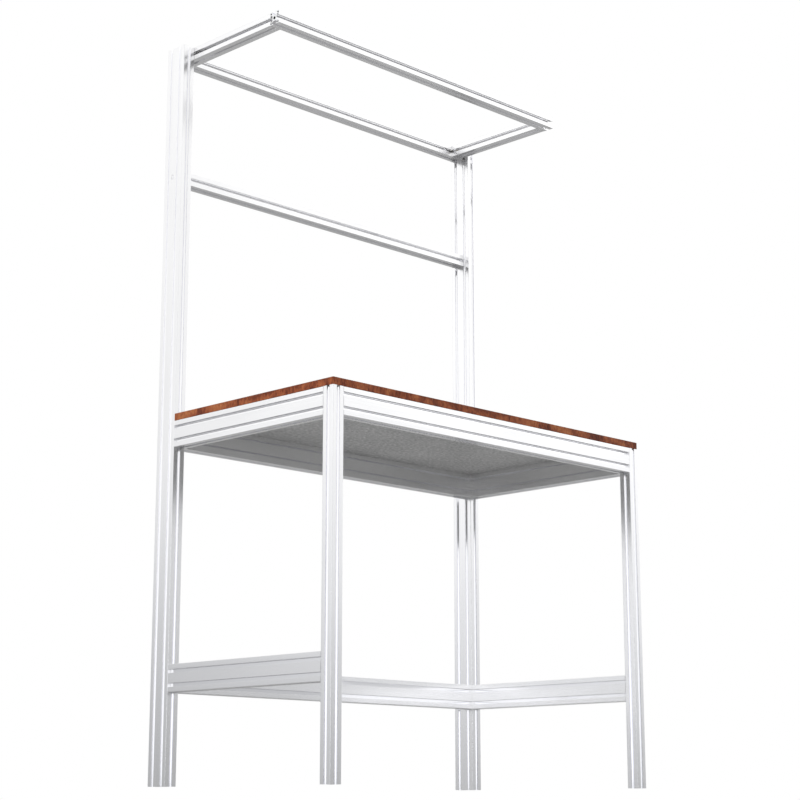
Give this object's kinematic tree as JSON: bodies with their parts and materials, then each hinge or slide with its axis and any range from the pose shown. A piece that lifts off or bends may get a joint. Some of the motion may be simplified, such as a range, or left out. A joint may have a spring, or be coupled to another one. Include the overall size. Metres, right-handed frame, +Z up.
{
  "type": "assembly table",
  "caption": "Workbench for assembly work, framed in slotted aluminium profile, with a wood-edged tabletop, tall rear posts, a tool rail and an overhead frame.",
  "frame": {"origin": "on the floor under the middle of the table's overall width and depth", "axes": "+Z up; +X to the worker's right; +Y from the worker's side to the posts at the back"},
  "size_m": [1, 0.58, 1.7],
  "materials": {
    "anodised_aluminium": "clear anodised, satin, drawn lengthwise",
    "chipboard": "raw pressed chips",
    "grey_laminate": "speckled grey laminate, matt",
    "cherry_wood_band": "reddish-brown banding, lacquered",
    "zinc_plated_steel": "zinc plated, dull",
    "light_grey_plastic": "moulded, matt"
  },
  "bodies": {
    "root": {"apron_front": "anodised_aluminium", "apron_left": "anodised_aluminium", "apron_rear": "anodised_aluminium", "apron_right": "anodised_aluminium", "bolt_top_frame_arm_left": "zinc_plated_steel", "bolt_top_frame_arm_right": "zinc_plated_steel", "edge_band_front": "cherry_wood_band", "edge_band_left": "cherry_wood_band", "edge_band_rear": "cherry_wood_band", "edge_band_right": "cherry_wood_band", "leg_front_left": "anodised_aluminium", "leg_front_right": "anodised_aluminium", "middle_rail": "anodised_aluminium", "plug_post_left": "light_grey_plastic", "plug_post_right": "light_grey_plastic", "post_rear_left": "anodised_aluminium", "post_rear_right": "anodised_aluminium", "screw_middle_rail_left": "zinc_plated_steel", "screw_middle_rail_right": "zinc_plated_steel", "screw_pair_apron_front_left": "zinc_plated_steel", "screw_pair_apron_front_right": "zinc_plated_steel", "screw_pair_apron_left_front": "zinc_plated_steel", "screw_pair_apron_left_rear": "zinc_plated_steel", "screw_pair_apron_rear_left": "zinc_plated_steel", "screw_pair_apron_rear_right": "zinc_plated_steel", "screw_pair_apron_right_front": "zinc_plated_steel", "screw_pair_apron_right_rear": "zinc_plated_steel", "screw_pair_stretcher_left_front": "zinc_plated_steel", "screw_pair_stretcher_left_rear": "zinc_plated_steel", "screw_pair_stretcher_rear_left": "zinc_plated_steel", "screw_pair_stretcher_rear_right": "zinc_plated_steel", "screw_pair_stretcher_right_front": "zinc_plated_steel", "screw_pair_stretcher_right_rear": "zinc_plated_steel", "screw_tabletop_front_left": "zinc_plated_steel", "screw_tabletop_front_right": "zinc_plated_steel", "screw_tabletop_rear_left": "zinc_plated_steel", "screw_tabletop_rear_right": "zinc_plated_steel", "screw_top_frame_arm_left_front": "zinc_plated_steel", "screw_top_frame_arm_left_rear": "zinc_plated_steel", "screw_top_frame_arm_right_front": "zinc_plated_steel", "screw_top_frame_arm_right_rear": "zinc_plated_steel", "screw_top_frame_rear_beam_left": "zinc_plated_steel", "screw_top_frame_rear_beam_right": "zinc_plated_steel", "slot_nut_tabletop_front_left": "zinc_plated_steel", "slot_nut_tabletop_front_right": "zinc_plated_steel", "slot_nut_tabletop_rear_left": "zinc_plated_steel", "slot_nut_tabletop_rear_right": "zinc_plated_steel", "slot_nut_top_frame_arm_left": "zinc_plated_steel", "slot_nut_top_frame_arm_right": "zinc_plated_steel", "stretcher_left": "anodised_aluminium", "stretcher_rear": "anodised_aluminium", "stretcher_right": "anodised_aluminium", "tabletop_core": "chipboard", "tabletop_top_laminate": "grey_laminate", "tabletop_under_laminate": "grey_laminate", "top_frame_arm_left": "anodised_aluminium", "top_frame_arm_right": "anodised_aluminium", "top_frame_front_beam": "anodised_aluminium", "top_frame_rear_beam": "anodised_aluminium"}
  },
  "joints": []
}
